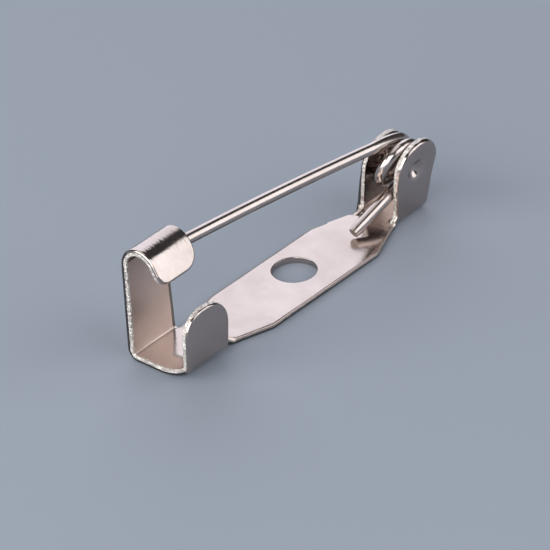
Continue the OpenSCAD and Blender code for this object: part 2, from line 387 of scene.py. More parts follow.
@dataclass(frozen=True)
class NickelFinish:
    """Nickel plate on a smooth, a brushed or a sheared surface; some of the base's finishes also carry
    painted highlight, sheen and shade in their colours.
    """

    name: str
    bright: tuple[float, float, float]
    clouded: tuple[float, float, float]
    polish: float
    haze: float
    grain_scale: float
    grain_depth: float
    cloud_scale: float = 350.0
    hairline_depth: float = 0.0

    def material(self) -> bpy.types.Material:
        """Builds the material.

        Returns:
            The material, its colour, roughness and grain from the shared plating group.
        """
        material, tree, shader = new_material(self.name)
        skin = tree.nodes.new("ShaderNodeGroup")
        skin.node_tree = PlatingGroup().tree()
        fill_inputs(skin, {
            "Bright": (*self.bright, 1.0),
            "Clouded": (*self.clouded, 1.0),
            "Cloud Scale": self.cloud_scale,
            "Grain Scale": self.grain_scale,
            "Polish": self.polish,
            "Haze": self.haze,
        })
        shader.inputs["Metallic"].default_value = 1.0
        tree.links.new(skin.outputs["Color"], shader.inputs["Base Color"])
        tree.links.new(skin.outputs["Roughness"], shader.inputs["Roughness"])
        surface = shader.inputs["Normal"]
        for height, depth in (("Height", self.grain_depth), ("Hairlines", self.hairline_depth)):
            bump = tree.nodes.new("ShaderNodeBump")
            bump.inputs["Distance"].default_value = depth * MM
            tree.links.new(skin.outputs[height], bump.inputs["Height"])
            tree.links.new(bump.outputs["Normal"], surface)
            surface = bump.inputs["Normal"]
        return material


@dataclass(frozen=True)
class FloorFinish:
    """Plain pale floor."""

    name: str = "pale_floor"
    colour: tuple[float, float, float] = (0.262, 0.292, 0.342)
    roughness: float = 0.6
    gloss: float = 0.15

    def material(self) -> bpy.types.Material:
        """Builds the material.

        Returns:
            A nearly matt, bluish grey.
        """
        material, _, shader = new_material(self.name)
        fill_inputs(shader, {
            "Base Color": (*self.colour, 1.0),
            "Roughness": self.roughness,
            "Specular IOR Level": self.gloss,
        })
        return material


BASE_FINISHES = {
    Skin.SHEET: NickelFinish(
        "nickel_sheet", bright=(0.50, 0.432, 0.402), clouded=(0.43, 0.365, 0.335),
        polish=0.13, haze=0.07, grain_scale=2500.0, grain_depth=0.0006, hairline_depth=0.006,
    ),
    # sheared edges: the rough grain is real; the near-white colour is a painted highlight
    Skin.SHEARED_AND_HIGHLIGHT: NickelFinish(
        "sheared_edge_and_highlight", bright=(0.98, 0.93, 0.87), clouded=(0.46, 0.41, 0.37),
        polish=0.36, haze=0.2, grain_scale=6000.0, grain_depth=0.2, cloud_scale=3600.0,
    ),
    # painted shade: nickel darkened to stand in for the dark reflections and shadow on turned-away rims
    Skin.PAINTED_SHADE: NickelFinish(
        "painted_shade_rim", bright=(0.16, 0.15, 0.14), clouded=(0.09, 0.085, 0.08),
        polish=0.24, haze=0.10, grain_scale=4000.0, grain_depth=0.002,
    ),
    # satin: the higher roughness is real; the lighter, pinker colour is a painted reflection
    Skin.SATIN_AND_SHEEN: NickelFinish(
        "satin_and_sheen_sheet", bright=(0.64, 0.53, 0.485), clouded=(0.57, 0.465, 0.42),
        polish=0.42, haze=0.06, grain_scale=2500.0, grain_depth=0.0006, hairline_depth=0.008,
    ),
    Skin.BRUSHED: NickelFinish(
        "brushed_sheet", bright=(0.50, 0.432, 0.402), clouded=(0.43, 0.365, 0.335),
        polish=0.14, haze=0.08, grain_scale=2500.0, grain_depth=0.0006, hairline_depth=0.024,
    ),
}
WIRE_FINISH = NickelFinish(
    "nickel_wire", bright=(0.54, 0.47, 0.44), clouded=(0.46, 0.395, 0.365),
    polish=0.19, haze=0.08, grain_scale=3500.0, grain_depth=0.0007,
)


# The stamped base


@dataclass(frozen=True)
class Swelling:
    """Where the strip grew thicker as it was bent, by the distance from its centre line."""

    share: float
    rise: tuple[float, float]
    fade: tuple[float, float] | None = None

    def at(self, reach: np.ndarray) -> np.ndarray:
        """How much of the full swelling there is at some places.

        Args:
            reach: the places' distances from the centre line, laid flat, in mm.

        Returns:
            One share for each place.
        """
        risen = self.share * smooth_step(*self.rise, reach)
        if self.fade is None:
            return risen
        return risen * (1.0 - smooth_step(*self.fade, reach))


@dataclass(frozen=True)
class Band:
    """A stretch of lines across the blank with one spacing, in mm."""

    low: float
    high: float
    step: float

    def lines(self) -> list[float]:
        """The lines' places."""
        return list(np.arange(self.low, self.high, self.step))


@dataclass(frozen=True)
class CutEdge:
    """A cut edge of the blank, which runs with the sheet on its left."""

    loop: np.ndarray
    # share of the rim's rounding that the edge has
    sharpness: float
    # height below which the rim is painted in shade where it is turned away
    dark_to: np.ndarray
    # finish of the cut along the base's long edges
    base_skin: Skin

    def shifted(self, out: float | np.ndarray) -> np.ndarray:
        """The edge moved out of the sheet, everywhere alike or by one distance for each point."""
        return self.loop + outward(self.loop) * np.reshape(out, (-1, 1))


@dataclass(frozen=True)
class Blank:
    """The flat sheet inside its rim, in triangles, with the points that lie on the rim's inner edges."""

    points: np.ndarray
    triangles: list[tuple[int, ...]]
    rings: list[list[int]]


@dataclass
class BackPlate:
    """The stamped strip: base with its hole, catch and ears.

    It is laid out flat, x along the bar and s across it from the centre line,
    and then folded. Lengths are in mm and angles in degrees.
    """

    sheet_t: float = 0.45
    bend_r: float = 0.5
    mid_y: float = -0.3
    # base: where its widest part and its necks begin and end
    half_w: float = 2.7
    wide_x0: float = -5.5
    near_x1: float = 4.75
    far_x1: float = 4.45
    wide_corner_r: float = 0.5
    neck_near: float = -1.38
    neck_far: float = 1.83
    near_neck_in: float = 0.12
    far_neck_out: float = 0.08
    near_neck_r: float = 0.3
    far_neck_r: float = 0.25
    hole_r: float = 1.5
    # catch: from the front edge to catch_x1, its tab on the near side, its hook on the far side
    front_x: float = -13.46
    catch_x1: float = -9.5
    floor_flat: float = 1.9
    corner_turn: float = 90.3
    wall_len: float = 6.371
    hook_r: float = 1.27
    hook_turn: float = 152.0
    lip_len: float = 1.35
    lip_front_in: float = 0.1
    lip_rear_in: float = 0.28
    lip_front_r: float = 0.75
    lip_rear_r: float = 1.25
    trough_r: float = 3.85
    trough_turn: float = 33.0
    tab_turn: float = 53.5
    tab_len: float = 3.74
    tab_rear_out: float = 0.03
    tab_front_r: float = 1.5
    tab_rear_r: float = 2.1
    # ears: their feet, round tops and lower rear ends
    foot_x: float = 8.42
    foot_near: float = -1.26
    foot_far: float = 1.5
    foot_r: float = 0.3
    ear_cx: float = 9.95
    ear_r: float = 2.05
    ear_widening: float = 0.08
    near_ear_corner_r: float = 1.88
    far_ear_corner_r: float = 1.9
    ear_stagger: float = 0.4
    near_lean: float = 9.5
    far_lean: float = 10.8
    near_flat: float = 0.7478
    far_flat: float = 0.86
    ear_len: float = 5.44
    far_ear_less: float = 0.13
    near_rear_x: float = 11.45
    far_rear_x: float = 11.2
    rear_s: float = 1.3
    rear_r: float = 1.0
    # dimples: a shallow dish round a deep pit
    dimple_x: float = 9.8
    dimple_s: float = 4.79
    dish_r: float = 1.35
    dish_depth: float = 0.12
    pit_r: float = 0.98
    pit_depth: float = 0.4
    # where the flat base goes over into the catch and into the hinge's channel
    catch_blend: tuple[float, float] = (-0.2, 0.45)
    near_catch_slant: float = 0.5
    far_catch_slant: float = 1.2
    hinge_blend: float = 0.5
    hinge_slant: float = 0.5
    hinge_slant_from: float = 1.2
    # cut edge: burr above, torn band, wide rolled rim below
    burr_r: float = 0.05
    burr_steps: int = 3
    rim_r: float = 0.15
    rim_steps: int = 7
    torn_heights: tuple[float, ...] = (0.13, 0.08, 0.04, 0.0, -0.035)
    torn_middle: float = 0.06
    torn_width: float = 0.09
    torn_low: float = -0.03
    shear_depth: float = 0.014
    shear_length: float = 0.5
    serration: float = 0.03
    serration_length: float = 0.16
    serration_reach: tuple[float, float] = (0.05, 0.4)
    mark_stretch: float = 2.0
    hole_sharpness: float = 0.3
    # roundings and swellings that the tools left
    roll_width: float = 0.55
    roll_depth: float = 0.045
    far_roll_share: float = 0.4
    roll_start: tuple[float, float] = (0.3, 1.2)
    roll_end: tuple[float, float] = (-1.2, -0.4)
    crease_width: float = 0.2
    ear_roll_width: float = 0.7
    ear_roll_depth: float = 0.1
    ear_roll_rise: tuple[float, float] = (2.0, 3.5)
    ear_roll_in: float = 1.5
    swell: float = 0.1
    near_ear_swelling: Swelling = Swelling(1.0, rise=(3.4, 5.2))
    far_ear_swelling: Swelling = Swelling(1.8, rise=(1.2, 1.8), fade=(3.6, 6.0))
    wall_swelling: Swelling = Swelling(0.8, rise=(2.2, 2.8), fade=(8.2, 10.0))
    ear_swelling_x: tuple[float, float] = (-0.9, -0.2)
    wall_swelling_x: tuple[float, float] = (-0.5, 0.0)
    unevenness: float = 0.012
    unevenness_length: float = 3.2
    # zones of the finishes on the blank: satin with a painted sheen on the wall, painted shade by the
    # wall's rear edge
    # where the wall carries satin with a painted sheen
    satin_and_sheen_wall_s: tuple[float, float] = (2.05, 9.3)
    satin_and_sheen_wall_out: float = 0.1
    rear_edge_s: tuple[float, float] = (2.3, 9.0)
    rear_edge_in: float = 1.0
    rear_band: float = 0.1
    brushed_from_s: float = 9.0
    long_edge_x: tuple[float, float] = (0.6, -0.5)
    long_edge_out: float = 0.05
    # rims whose outer side points along dark_way get painted shade below these heights, on the catch, the
    # ears and the hole
    dark_way: tuple[float, float, float] = (0.0, 0.75, -0.66)
    catch_dark_to: float = 0.01
    ears_dark_to: float = -0.03
    hole_dark_to: float = -0.2
    # the ears' top edges, this far down from their tips, keep the painted highlight even where turned away
    bright_ear_top: float = 1.2
    # spacing of the mesh
    spacing: float = 0.075
    grid_gap: float = 0.06
    catch_grid_end: float = -7.0
    hinge_grid_start: float = 7.3
    hinge_grid_end: float = 12.1
    dimple_rings: int = 20
    dimple_spacing: float = 0.07
    dimple_clear: float = 1.05
    slope_step: float = 0.01
    weld: float = 1e-6
    name: str = "stamped_base"
    materials: list[bpy.types.Material] = field(default_factory=list)

    def catch_runs(self, side: Side) -> list[Run]:
        """The catch's section on one side of the centre line.

        Args:
            side: the tab's side or the hook's.

        Returns:
            The runs from the centre line outwards.
        """
        if side is Side.FAR:
            return [
                Run(self.floor_flat),
                Run.arc(self.bend_r, self.corner_turn),
                Run(self.wall_len),
                Run.arc(self.hook_r, self.hook_turn),
                Run(self.lip_len),
            ]
        return [
            Run.arc(self.trough_r, self.trough_turn),
            Run.arc(self.bend_r, self.tab_turn),
            Run(self.tab_len),
        ]

    def hinge_runs(self, side: Side) -> list[Run]:
        """The section through the ears on one side of the centre line.

        Args:
            side: the near ear's side or the far ear's.

        Returns:
            The runs from the centre line outwards.
        """
        if side is Side.FAR:
            bend = Run.arc(self.bend_r, 90.0 + self.far_lean)
            return [Run(self.far_flat), bend, Run(self.ear_len - self.far_ear_less)]
        bend = Run.arc(self.bend_r, 90.0 - self.near_lean)
        return [Run(self.near_flat), bend, Run(self.ear_len)]

    def catch_end(self, side: Side) -> float:
        """How far the catch reaches from the centre line, laid flat."""
        return sum(run.length for run in self.catch_runs(side))

    def ear_end(self, side: Side) -> float:
        """How far an ear reaches from the centre line, laid flat."""
        return sum(run.length for run in self.hinge_runs(side))

    def dimple_centre(self, side: Side) -> np.ndarray:
        """The x and s of an ear's dimple."""
        back = self.ear_stagger if side is Side.FAR else 0.0
        return np.array([self.dimple_x - back, side.value * self.dimple_s])

    def long_edge(self, side: Side) -> list[Corner]:
        """The corners of one of the base's long edges.

        Args:
            side: the edge's side.

        Returns:
            The corners from the catch to the ears.
        """
        if side is Side.NEAR:
            return [
                Corner(self.catch_x1 - self.near_neck_in, self.neck_near, self.near_neck_r),
                Corner(self.wide_x0, -self.half_w, self.wide_corner_r),
                Corner(self.near_x1, -self.half_w, self.wide_corner_r),
                Corner(self.foot_x, self.foot_near, self.foot_r),
            ]
        return [
            Corner(self.catch_x1 + self.far_neck_out, self.neck_far, self.far_neck_r),
            Corner(self.wide_x0, self.half_w, self.wide_corner_r),
            Corner(self.far_x1, self.half_w, self.wide_corner_r),
            Corner(self.foot_x - self.ear_stagger, self.foot_far, self.foot_r),
        ]

    def corners(self) -> list[Corner]:
        """The blank's outline.

        Returns:
            Its corners, counter-clockwise from the tab's front.
        """
        tab_end, lip_end = -self.catch_end(Side.NEAR), self.catch_end(Side.FAR)
        near_top, far_top = -self.ear_end(Side.NEAR), self.ear_end(Side.FAR)
        ear_x0 = self.ear_cx - self.ear_r - self.ear_widening
        ear_x1 = self.ear_cx + self.ear_r + self.ear_widening
        return [
            Corner(self.front_x, tab_end, self.tab_front_r),
            Corner(self.catch_x1 + self.tab_rear_out, tab_end, self.tab_rear_r),
            *self.long_edge(Side.NEAR),
            Corner(ear_x0, near_top, self.near_ear_corner_r),
            Corner(ear_x1, near_top, self.near_ear_corner_r),
            Corner(self.near_rear_x, -self.rear_s, self.rear_r),
            Corner(self.far_rear_x, self.rear_s, self.rear_r),
            Corner(ear_x1 - self.ear_stagger, far_top, self.far_ear_corner_r),
            Corner(ear_x0 - self.ear_stagger, far_top, self.far_ear_corner_r),
            *reversed(self.long_edge(Side.FAR)),
            Corner(self.catch_x1 - self.lip_rear_in, lip_end, self.lip_rear_r),
            Corner(self.front_x + self.lip_front_in, lip_end, self.lip_front_r),
        ]

    def section(self, x: np.ndarray, s: np.ndarray) -> np.ndarray:
        """Folds the sheet's middle.

        Args:
            x, s: places on the blank.

        Returns:
            Rows of x, y and z, in mm.
        """
        reach = np.abs(s)
        far = s >= 0.0
        shapes = []
        for runs in (self.catch_runs, self.hinge_runs):
            y, z = along_runs(runs(Side.FAR), reach)
            y_near, z_near = along_runs(runs(Side.NEAR), reach)
            shapes.append((np.where(far, y, -y_near), np.where(far, z, z_near)))
        (catch_y, catch_z), (hinge_y, hinge_z) = shapes
        far_slant = self.far_catch_slant * np.maximum(0.0, reach - self.floor_flat)
        catch_slant = np.where(far, far_slant, self.near_catch_slant * reach)
        blend_x0, blend_x1 = (self.catch_x1 + shift for shift in self.catch_blend)
        catch = 1.0 - smooth_step(blend_x0, blend_x1, x - catch_slant)
        catch = np.where(x > 0.0, 0.0, catch)
        stagger = np.where(far, self.ear_stagger, 0.0)
        hinge_slant = self.hinge_slant * np.maximum(0.0, reach - self.hinge_slant_from)
        hinge = smooth_step(self.foot_x - self.hinge_blend, self.foot_x, x + stagger + hinge_slant)
        hinge = np.where(x < 0.0, 0.0, hinge)
        y = s * (1.0 - catch - hinge) + catch_y * catch + hinge_y * hinge
        z = catch_z * catch + hinge_z * hinge
        return np.stack([x, self.mid_y + y, self.sheet_t / 2.0 + z], axis=-1)

    def relief(self, x: np.ndarray, s: np.ndarray) -> np.ndarray:
        """How far dimples and unevenness shift the sheet's middle.

        Args:
            x, s: places on the blank.

        Returns:
            One shift towards the upper side for each place, in mm.
        """
        waves_seed = 7
        shift = self.unevenness * wave_noise(x, s, waves_seed, self.unevenness_length)
        for side in Side:
            centre_x, centre_s = self.dimple_centre(side)
            r = np.hypot(x - centre_x, s - centre_s)
            for reach, depth in ((self.dish_r, self.dish_depth), (self.pit_r, self.pit_depth)):
                shift = shift + depth * 0.5 * (1.0 + np.cos(math.pi * np.minimum(r / reach, 1.0)))
        return shift

    def creased(self, flat: np.ndarray, height: float) -> np.ndarray:
        """How much deeper the catch's corners are inside, where the punch pressed them sharp.

        Args:
            flat: rows of x and s.
            height: distance above the sheet's middle.

        Returns:
            One depth for each row, in mm.
        """
        x, s = flat[:, 0], flat[:, 1]
        inner_r = self.bend_r - self.sheet_t / 2.0
        trough = self.trough_r * math.radians(self.trough_turn)
        deeper = np.zeros(len(flat))
        for start, turn, way in ((self.floor_flat, self.corner_turn, 1.0), (trough, self.tab_turn, -1.0)):
            half = math.radians(turn) / 2.0
            angle = np.abs((way * s - start) / self.bend_r - half)
            flank = np.clip(half - np.hypot(angle, self.crease_width), 0.0, half)
            deeper = deeper + np.where(angle < half, inner_r * (1.0 / np.cos(flank) - 1.0), 0.0)
        return deeper * (x < self.catch_x1) * max(0.0, 2.0 * height / self.sheet_t)

    def swollen(self, flat: np.ndarray, height: float) -> np.ndarray:
        """How much further out the outer side lies on the ears and the catch's wall.

        Args:
            flat: rows of x and s.
            height: distance above the sheet's middle.

        Returns:
            One distance for each row, in mm.
        """
        x, reach = flat[:, 0], np.abs(flat[:, 1])
        far = flat[:, 1] > 0.0
        ear_x0, ear_x1 = (self.foot_x + shift for shift in self.ear_swelling_x)
        ears = np.where(far, self.far_ear_swelling.at(reach), self.near_ear_swelling.at(reach))
        ears = ears * smooth_step(ear_x0, ear_x1, x)
        wall_x0, wall_x1 = (self.catch_x1 + shift for shift in self.wall_swelling_x)
        wall = self.wall_swelling.at(reach) * (1.0 - smooth_step(wall_x0, wall_x1, x)) * far
        return self.swell * (ears + wall) * max(0.0, -2.0 * height / self.sheet_t)

    def base_roll(self, flat: np.ndarray) -> np.ndarray:
        """How far the upper side dips towards the base's long edges.

        Args:
            flat: rows of x and s.

        Returns:
            One depth for each row, in mm.
        """
        x, s = flat[:, 0], flat[:, 1]
        near, far = (
            np.interp(x, [corner.x for corner in edge], [abs(corner.s) for corner in edge])
            for edge in (self.long_edge(Side.NEAR), self.long_edge(Side.FAR))
        )
        edge_reach = np.where(s < 0.0, near, far)
        depth = np.where(s < 0.0, self.roll_depth, self.far_roll_share * self.roll_depth)
        closeness = np.clip(1.0 - (edge_reach - np.abs(s)) / self.roll_width, 0.0, 1.0)
        start_x0, start_x1 = (self.catch_x1 + shift for shift in self.roll_start)
        end_x0, end_x1 = (self.foot_x + shift for shift in self.roll_end)
        base = smooth_step(start_x0, start_x1, x) * (1.0 - smooth_step(end_x0, end_x1, x))
        return depth * closeness**2 * base

    def ear_roll(self, flat: np.ndarray) -> np.ndarray:
        """How far the outer side of the ears falls away towards their rounded edges.

        Args:
            flat: rows of x and s.

        Returns:
            One depth for each row, in mm.
        """
        x, reach = flat[:, 0], np.abs(flat[:, 1])
        centre = np.where(flat[:, 1] > 0.0, self.ear_cx - self.ear_stagger, self.ear_cx)
        aside = np.abs(x - centre)
        above = np.maximum(0.0, reach - (self.ear_end(Side.FAR) - self.ear_r))
        closeness = np.clip(1.0 - (self.ear_r - np.hypot(aside, above)) / self.ear_roll_width, 0.0, 1.0)
        depth = self.ear_roll_depth * closeness**2 * smooth_step(*self.ear_roll_rise, reach)
        return depth * (x > self.foot_x - self.ear_roll_in)

    def rolled(self, flat: np.ndarray, height: float) -> np.ndarray:
        """Heights after both sides have been rounded off towards their edges.

        Args:
            flat: rows of x and s.
            height: distance above the sheet's middle before that.

        Returns:
            One height for each row, in mm.
        """
        if height <= 0.0:
            return height + self.ear_roll(flat) * (-2.0 * height / self.sheet_t)
        return height - self.base_roll(flat) * height / (self.sheet_t / 2.0)

    def place(self, flat: np.ndarray, height: float) -> np.ndarray:
        """Folds places on the blank, at a height above the sheet's middle.

        Args:
            flat: rows of x and s.
            height: distance above the middle, towards the upper or inner side.

        Returns:
            Rows of x, y and z, in mm.
        """
        x, s = flat[:, 0], flat[:, 1]
        step = self.slope_step
        middle = self.section(x, s)
        along = self.section(x + step, s) - self.section(x - step, s)
        across = self.section(x, s + step) - self.section(x, s - step)
        normal = np.cross(along, across)
        normal /= np.linalg.norm(normal, axis=1)[:, None]
        rise = self.relief(x, s) + self.rolled(flat, height) - self.creased(flat, height)
        rise = rise - self.swollen(flat, height)
        return middle + normal * rise[:, None]

    def catch_lines(self) -> list[float]:
        """Lines along the catch, finest in its bends.

        Returns:
            Their s, from beyond the tab's end to beyond the lip's.
        """
        wall = self.floor_flat + self.bend_r * math.radians(self.corner_turn)
        hook = wall + self.wall_len
        lip = hook + self.hook_r * math.radians(self.hook_turn)
        bands = (
            Band(low=-6.9, high=-4.0, step=0.16),
            Band(low=-4.0, high=-2.8, step=0.14),
            Band(low=-2.8, high=-2.1, step=0.04),
            Band(low=-2.1, high=1.85, step=0.11),
            Band(low=self.floor_flat - 0.05, high=wall + 0.05, step=0.04),
            Band(low=wall + 0.15, high=hook - 0.05, step=0.2),
            Band(low=hook, high=lip, step=0.07),
            Band(low=lip + 0.1, high=14.5, step=0.14),
        )
        return [line for band in bands for line in band.lines()]

    def ear_lines(self) -> list[float]:
        """Lines along an ear, finest in its bend.

        Returns:
            Their distances from the centre line.
        """
        bands = (
            Band(low=0.1, high=0.5, step=0.1),
            Band(low=0.5, high=1.6, step=0.045),
            Band(low=1.65, high=7.0, step=0.15),
        )
        return [line for band in bands for line in band.lines()]

    def grid(self) -> np.ndarray:
        """Inner points of the blank: finer across the bends and round the dimples.

        Returns:
            Rows of x and s, some of them outside the outline.
        """
        catch_x = Band(low=self.front_x, high=self.catch_grid_end, step=0.18)
        base_x = Band(low=self.catch_grid_end, high=self.hinge_grid_start, step=0.2)
        base_s = Band(low=-self.half_w, high=self.half_w, step=0.18)
        hinge_x = Band(low=self.hinge_grid_start, high=self.hinge_grid_end, step=0.15)
        rows = [
            crossings(catch_x.lines(), self.catch_lines()),
            crossings(base_x.lines(), base_s.lines()),
        ]
        for side in Side:
            rows.append(crossings(hinge_x.lines(), [side.value * s for s in self.ear_lines()]))
        points = np.concatenate(rows)
        for side in Side:
            centre = self.dimple_centre(side)
            points = points[np.hypot(*(points - centre).T) > self.dish_r * self.dimple_clear]
            for ring in range(self.dimple_rings + 1):
                r = self.dish_r * ring / self.dimple_rings
                turns = max(1, int(2.0 * math.pi * r / self.dimple_spacing))
                a = 2.0 * math.pi * np.arange(turns) / turns
                points = np.concatenate([points, centre + r * np.stack([np.cos(a), np.sin(a)], axis=1)])
        return points

    def edges(self) -> list[CutEdge]:
        """The blank's cut edges.

        Returns:
            The outline, counter-clockwise, and the fixing hole, clockwise.
        """
        outline = rounded_outline(self.corners(), self.spacing)
        turns = int(2.0 * math.pi * self.hole_r / self.spacing)
        a = 2.0 * math.pi * np.arange(turns) / turns
        hole = np.stack([self.hole_r * np.cos(a), self.hole_r * np.sin(a) - self.mid_y], axis=1)[::-1]
        dark_to = np.where(outline[:, 0] < 0.0, self.catch_dark_to, self.ears_dark_to)
        return [
            # the base's long edges take satin with a painted warm reflection
            CutEdge(outline, 1.0, dark_to, Skin.SATIN_AND_SHEEN),
            CutEdge(hole, self.hole_sharpness, np.full(turns, self.hole_dark_to), Skin.SHEET),
        ]

    def cut_blank(self, edges: list[CutEdge]) -> Blank:
        """Triangulates the flat sheet inside its rim.

        Args:
            edges: the outline and the hole.

        Returns:
            The flat sheet, with one ring of points for each edge.
        """
        insets = (-self.rim_r, -self.rim_r - self.rear_band)
        loops = [edge.shifted(inset) for inset in insets for edge in edges]
        outer, hole = (edge.shifted(insets[1] - self.grid_gap) for edge in edges)
        grid = self.grid()
        grid = grid[inside(outer, grid) & ~inside(hole, grid)]
        segments = []
        starts = []
        count = 0
        for loop in loops:
            size = len(loop)
            segments += [(count + i, count + (i + 1) % size) for i in range(size)]
            starts.append(count)
            count += size
        spots = [Vector(spot) for spot in np.concatenate([*loops, grid]).tolist()]
        found, _, triangles, origins, _, _ = delaunay_2d_cdt(spots, segments, [], 0, self.weld)
        points = np.array([list(spot) for spot in found])
        centres = middles(points, triangles)
        keep = inside(loops[0], centres) & ~inside(loops[1], centres)
        index = {origin: i for i, merged in enumerate(origins) for origin in merged}
        return Blank(
            points,
            [tuple(triangle) for triangle, kept in zip(triangles, keep) if kept],
            [[index[start + i] for i in range(len(edge.loop))] for edge, start in zip(edges, starts)],
        )

    def rim_profile(self) -> list[tuple[float, float]]:
        """The sheet's cut edge in section.

        Returns:
            Offsets outwards and heights above the sheet's middle, from top to bottom.
        """
        half = self.sheet_t / 2.0

        def rounding(r: float, steps: int) -> list[tuple[float, float]]:
            """A quarter circle from the upper side out to the edge."""
            turns = (math.radians(90.0 * k / steps) for k in range(steps + 1))
            return [(r * (math.sin(a) - 1.0), half - r * (1.0 - math.cos(a))) for a in turns]

        torn = [(0.0, height) for height in self.torn_heights]
        rim = [(out, -height) for out, height in reversed(rounding(self.rim_r, self.rim_steps))]
        return [(-self.rim_r, half)] + rounding(self.burr_r, self.burr_steps) + torn + rim

    def shear_marks(self, loop: np.ndarray, height: float) -> np.ndarray:
        """How far the torn band of a cut edge stands out or in.

        Args:
            loop: rows of x and s along the edge.
            height: distance above the sheet's middle.

        Returns:
            One distance outwards for each row, in mm.
        """
        marks_seed, teeth_seed = 21, 33
        steps = np.linalg.norm(np.diff(loop, axis=0), axis=1)
        length = np.concatenate([[0.0], np.cumsum(steps)])
        level = np.full(len(loop), self.mark_stretch * height)
        share = math.exp(-((height - self.torn_middle) / self.torn_width) ** 2)
        teeth_x0, teeth_x1 = (self.front_x + reach for reach in self.serration_reach)
        front = 1.0 - smooth_step(teeth_x0, teeth_x1, loop[:, 0])
        marks = self.shear_depth * wave_noise(length, level, marks_seed, self.shear_length)
        teeth = self.serration * front * wave_noise(length, level, teeth_seed, self.serration_length)
        return share * (marks + teeth)

    def at_rear(self, x: float, s: float) -> bool:
        """Whether a place on the blank lies at the rear edge of the catch's wall."""
        low, high = self.rear_edge_s
        return x > self.catch_x1 - self.rear_edge_in and low < s < high

    def upper_skins(self, centres: np.ndarray, at_rim: np.ndarray) -> list[Skin]:
        """Finishes of the upper side: satin with a painted sheen on the wall, painted shade by its rear
        edge.

        Args:
            centres: the triangles' middles.
            at_rim: whether each triangle lies in the band next to the rim.

        Returns:
            One finish for each triangle.
        """
        low, high = self.satin_and_sheen_wall_s
        skins = []
        for (x, s), beside_rim in zip(centres, at_rim):
            on_wall = x < self.catch_x1 + self.satin_and_sheen_wall_out and low < s < high
            if not on_wall:
                skins.append(Skin.SHEET)
            # painted shade in the band by the wall's rear edge
            elif beside_rim and self.at_rear(x, s):
                skins.append(Skin.PAINTED_SHADE)
            else:
                skins.append(Skin.SATIN_AND_SHEEN)
        return skins

    def lower_skins(self, centres: np.ndarray) -> list[Skin]:
        """Finishes of the lower side: brushed on the hook."""
        hooked = (centres[:, 0] < self.catch_x1) & (centres[:, 1] > self.brushed_from_s)
        return [Skin.BRUSHED if brushed else Skin.SHEET for brushed in hooked]

    def rim_skins(self, edge: CutEdge) -> list[Skin]:
        """Finishes round a cut edge: painted shade where the rim is turned away, a painted highlight on the
        sheared band.

        Args:
            edge: the outline or the hole.

        Returns:
            One finish for each face, ring by ring from the top.
        """
        half = self.sheet_t / 2.0
        x, s = edge.loop[:, 0], edge.loop[:, 1]
        rear = [self.at_rear(*spot) for spot in edge.loop]
        long_from, long_to = self.long_edge_x
        along_base = (x > self.catch_x1 + long_from) & (x < self.foot_x + long_to)
        along_base &= np.abs(s) < self.half_w + self.long_edge_out
        outer_way = self.place(edge.loop, -half) - self.place(edge.loop, half)
        # rims turned along dark_way get painted shade, except near the ears' tops
        turned_away = outer_way @ np.array(self.dark_way) > 0.0
        turned_away &= (x < 0.0) | (s < self.ear_end(Side.FAR) - self.bright_ear_top)
        skins = []
        for _, height in self.rim_profile()[:-1]:
            for behind, on_base, away, dark_to in zip(rear, along_base, turned_away, edge.dark_to):
                # top ring: painted shade at the wall's rear edge, plain sheet along the base, painted
                # highlight elsewhere
                if height == half:
                    skins.append(Skin.PAINTED_SHADE if behind else Skin.SHEET if on_base else Skin.SHEARED_AND_HIGHLIGHT)
                elif away and height < dark_to:
                    skins.append(Skin.PAINTED_SHADE)
                elif height <= self.torn_low:
                    skins.append(Skin.SHEET)
                else:
                    skins.append(edge.base_skin if on_base else Skin.SHEARED_AND_HIGHLIGHT)
        return skins

    def build(self) -> bpy.types.Object:
        """Lays out, triangulates and folds the sheet.

        Returns:
            The finished mesh object.
        """
        edges = self.edges()
        blank = self.cut_blank(edges)
        half = self.sheet_t / 2.0
        count = len(blank.points)
        verts = [self.place(blank.points, half), self.place(blank.points, -half)]
        faces = blank.triangles + [tuple(count + i for i in reversed(t)) for t in blank.triangles]
        centres = middles(blank.points, blank.triangles)
        at_rim = ~inside(edges[0].shifted(-self.rim_r - self.rear_band), centres)
        skins = self.upper_skins(centres, at_rim) + self.lower_skins(centres)
        made = 2 * count
        for edge, ring in zip(edges, blank.rings):
            size = len(ring)
            rings = [ring]
            for out, height in self.rim_profile()[1:-1]:
                outwards = edge.sharpness * out + self.shear_marks(edge.loop, height)
                verts.append(self.place(edge.shifted(outwards), height))
                rings.append([made + i for i in range(size)])
                made += size
            rings.append([count + i for i in ring])
            for upper, lower in zip(rings, rings[1:]):
                for i in range(size):
                    j = (i + 1) % size
                    faces.append((upper[i], lower[i], lower[j], upper[j]))
            skins += self.rim_skins(edge)
        mesh = bpy.data.meshes.new(self.name)
        mesh.from_pydata((np.concatenate(verts) * MM).tolist(), [], faces)
        mesh.polygons.foreach_set("use_smooth", [True] * len(faces))
        mesh.polygons.foreach_set("material_index", skins)
        mesh.update()
        for material in self.materials:
            mesh.materials.append(material)
        return new_object(self.name, mesh)


# The spring wire


@dataclass(frozen=True)
class Departure:
    """How a wire leaves a ring: at what angle, with what sideways turn, and for what length."""

    angle: float
    turn: float
    length: float


